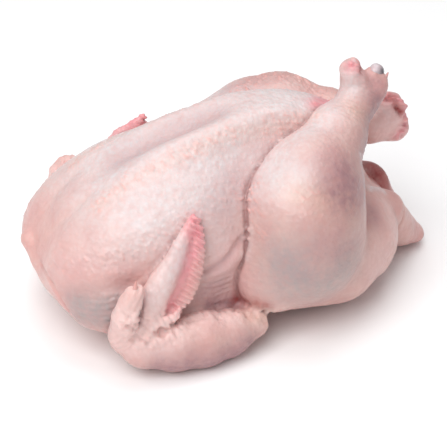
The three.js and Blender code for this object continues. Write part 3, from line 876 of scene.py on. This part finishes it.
# The zones' colours. Each lies over those before it. The fold's colour is painted shade.
TINTS = {
    "pale": "#dcd2d2", "rosy_and_painted_light": "#f0cfc9", "blush": "#dda19d", "coral": "#e5939a", "fat": "#eac3ab",
    "bumps": "#e5aca3", "veil_and_painted_shade": "#a37b80", "dusky_and_painted_shade": "#a59e9d", "raw": "#9c3a37", "fold": "#976a68",
}
for name, hue in TINTS.items():
    zone = add_node(tree, "Attribute", attribute_name=name)
    ragged = add_node(
        tree, "Math", {0: zone.outputs["Fac"], 1: broken.outputs["Result"]}, operation="MULTIPLY", use_clamp=True,
    )
    colour = add_node(
        tree, "Mix", {"Factor": ragged.outputs["Value"], MIX_A: colour.outputs[MIX_RESULT], MIX_B: linear(hue)},
        data_type="RGBA",
    )
pits = add_node(
    tree, "MapRange", {"Value": follicles.outputs["Distance"], "From Min": 0.35, "From Max": 0.75, "To Max": 0.2},
)
colour = add_node(
    tree, "Mix", {"Factor": pits.outputs["Result"], MIX_A: colour.outputs[MIX_RESULT], MIX_B: linear("#c58f86")},
    data_type="RGBA",
)
sheen = add_node(
    tree, "MapRange",
    {"Value": grease.outputs["Fac"], "From Min": 0.3, "From Max": 0.7, "To Min": 0.34, "To Max": 0.5},
)
pimpled = add_node(
    tree, "Bump", {"Height": follicles.outputs["Distance"], "Strength": 0.8, "Distance": 0.6 * MM}, invert=True,
)
wrinkled = add_node(
    tree, "Bump",
    {"Height": fine_wrinkles.outputs["Fac"], "Strength": 0.4, "Distance": 0.5 * MM,
     "Normal": pimpled.outputs["Normal"]},
)
surface = add_node(
    tree, "BsdfPrincipled",
    {"Base Color": colour.outputs[MIX_RESULT], "Roughness": sheen.outputs["Result"], "IOR": 1.45,
     "Subsurface Weight": 0.3, "Subsurface Radius": (1.0, 0.45, 0.4), "Subsurface Scale": 0.0025,
     "Coat Weight": 0.18, "Coat Roughness": 0.25, "Normal": wrinkled.outputs["Normal"]},
)
add_node(tree, "OutputMaterial", {"Surface": surface.outputs["BSDF"]})
bird.data.materials.clear()
bird.data.materials.append(skin)
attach(bird, "root")
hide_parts("whole_chicken")

# ---------------------------------------------------------------- hock cartilage
# The near leg's joint ends in a cap of bare cartilage over the bone, left standing where the foot was cut off. It
# sits in the end of the rear knuckle. It is blocked in with plain shapes and covered with small even faces.

CAP = [(97.6, -8, 130, 4.6), (98.2, -8.2, 133, 5), (98.6, -8, 134, 4.8)]
# Painted shade on its rear side, away from the light, and the pink rim round its foot: lines, their width and their
# strength.
CAP_PAINTED_SHADE = [([(101, -12, 135), (102.8, -9.5, 134.5)], 3.0, 1.0)]
CAP_RIM = [([(94, -12, 130.5), (98, -14, 129.5), (102, -12.5, 130)], 1.6, 0.6)]
CAP_SWELLS = [(3.5, 0.35), (1.3, 0.12)]
CAP_TINTS = {"rim": "#d9a39b", "painted_rear_shade": "#584f56"}


def small_piece(name, balls, face):
    """A small piece: a tube through balls, with round ends, covered with even faces."""
    bpy.ops.object.select_all(action="DESELECT")
    rough.clear()
    rough_limb(balls)
    for part in rough:
        part.select_set(True)
    piece = rough[0]
    bpy.context.view_layer.objects.active = piece
    bpy.ops.object.join()
    bpy.ops.object.transform_apply(location=True, rotation=True, scale=True)
    piece.name = name
    remeshed(piece, face)
    piece.data.materials.clear()
    return piece


cap = small_piece("hock_cartilage", CAP, face=0.45)
smooth = places(cap.data)
put(cap.data, smooth + normals(cap.data) * swelling(smooth, CAP_SWELLS)[:, None])
marked(cap, "painted_rear_shade", zoned(cap, CAP_PAINTED_SHADE))
marked(cap, "rim", zoned(cap, CAP_RIM))
# Wet gristle: bluish white and milky, clouded 3 mm across, so light goes a little way in, with a sharp wet highlight.
# Its rear side is darkened with painted shade.
gristle, tree = new_material("wet_white_gristle")
coordinates = add_node(tree, "TexCoord").outputs["Object"]
clouding = add_node(tree, "TexNoise", {"Vector": coordinates, "Scale": PER_MM / 3.0, "Detail": 3.0})
colour = add_node(
    tree, "Mix", {"Factor": clouding.outputs["Fac"], MIX_A: linear("#d6cdd1"), MIX_B: linear("#c6adb0")},
    data_type="RGBA",
)
for name, hue in CAP_TINTS.items():
    zone = add_node(tree, "Attribute", attribute_name=name)
    colour = add_node(
        tree, "Mix", {"Factor": zone.outputs["Fac"], MIX_A: colour.outputs[MIX_RESULT], MIX_B: linear(hue)},
        data_type="RGBA",
    )
grain_bump = add_node(tree, "Bump", {"Height": clouding.outputs["Fac"], "Strength": 0.3, "Distance": 0.3 * MM})
surface = add_node(
    tree, "BsdfPrincipled",
    {"Base Color": colour.outputs[MIX_RESULT], "Roughness": 0.28, "IOR": 1.42, "Subsurface Weight": 0.4,
     "Subsurface Radius": (0.8, 0.6, 0.6), "Subsurface Scale": 0.003, "Coat Weight": 0.4, "Coat Roughness": 0.12,
     "Normal": grain_bump.outputs["Normal"]},
)
add_node(tree, "OutputMaterial", {"Surface": surface.outputs["BSDF"]})
cap.data.materials.append(gristle)
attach(cap, "root")

# ---------------------------------------------------------------- hock shred
# A torn tag of skin that stands up behind the near hock, where the skin was pulled when the foot was cut off. It is
# part of the skin, thin and drawn out to a point.

SHRED = [(100.4, -12.5, 126.5, 2.3), (101.8, -12.6, 130, 1.8), (104.4, -12.4, 134.3, 0.5)]
# The shred stands in the shadow behind the hock, so its mauve is painted shade.
SHRED_TINTS = {"blush": 0.6, "veil_and_painted_shade": 0.4}

shred = small_piece("hock_shred", SHRED, face=0.4)
for name in TINTS:
    marked(shred, name, zoned(shred, [(middles(SHRED), 6, SHRED_TINTS.get(name, 0.0))]))
shred.data.materials.append(skin)
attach(shred, "root")

# ---------------------------------------------------------------- claws
# The small claws that a wing keeps: one on each thumb, and one on the tip of the left finger. Each is a curved horn
# spur, set in the skin of the joint that it ends.

CLAWS = {
    "right_thumb_claw": [(-78.5, -78.6, 65, 1.7), (-78.2, -78.8, 68.2, 1.1), (-77.6, -78.6, 71, 0.35)],
    "left_thumb_claw": [(-69, 79, 61.5, 1.6), (-67, 81.5, 62, 1), (-64.8, 83, 61, 0.35)],
    "left_finger_claw": [(-27.5, 56.4, 93.4, 1.2), (-26.7, 56.8, 95, 0.9), (-25.9, 57.2, 96.1, 0.4)],
}
CLAW_HUES = {"right_thumb_claw": "#d8a29b", "left_thumb_claw": "#d8a29b", "left_finger_claw": "#7d6c6c"}

for name, balls in CLAWS.items():
    claw = small_piece(name, balls, face=0.25)
    # Plucked claws are dull horn, streaked 1.2 mm across: pinkish where the blood still shows through, and grey where
    # they are worn.
    horn, tree = new_material(name + "_horn")
    streaks = add_node(
        tree, "TexNoise",
        {"Vector": add_node(tree, "TexCoord").outputs["Object"], "Scale": PER_MM / 1.2, "Detail": 2.0},
    )
    scored = add_node(tree, "Bump", {"Height": streaks.outputs["Fac"], "Strength": 0.3, "Distance": 0.15 * MM})
    surface = add_node(
        tree, "BsdfPrincipled",
        {"Base Color": linear(CLAW_HUES[name]), "Roughness": 0.4, "IOR": 1.54, "Subsurface Weight": 0.2,
         "Subsurface Radius": (1.0, 0.5, 0.4), "Subsurface Scale": 0.001, "Normal": scored.outputs["Normal"]},
    )
    add_node(tree, "OutputMaterial", {"Surface": surface.outputs["BSDF"]})
    claw.data.materials.append(horn)
    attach(claw, "root")
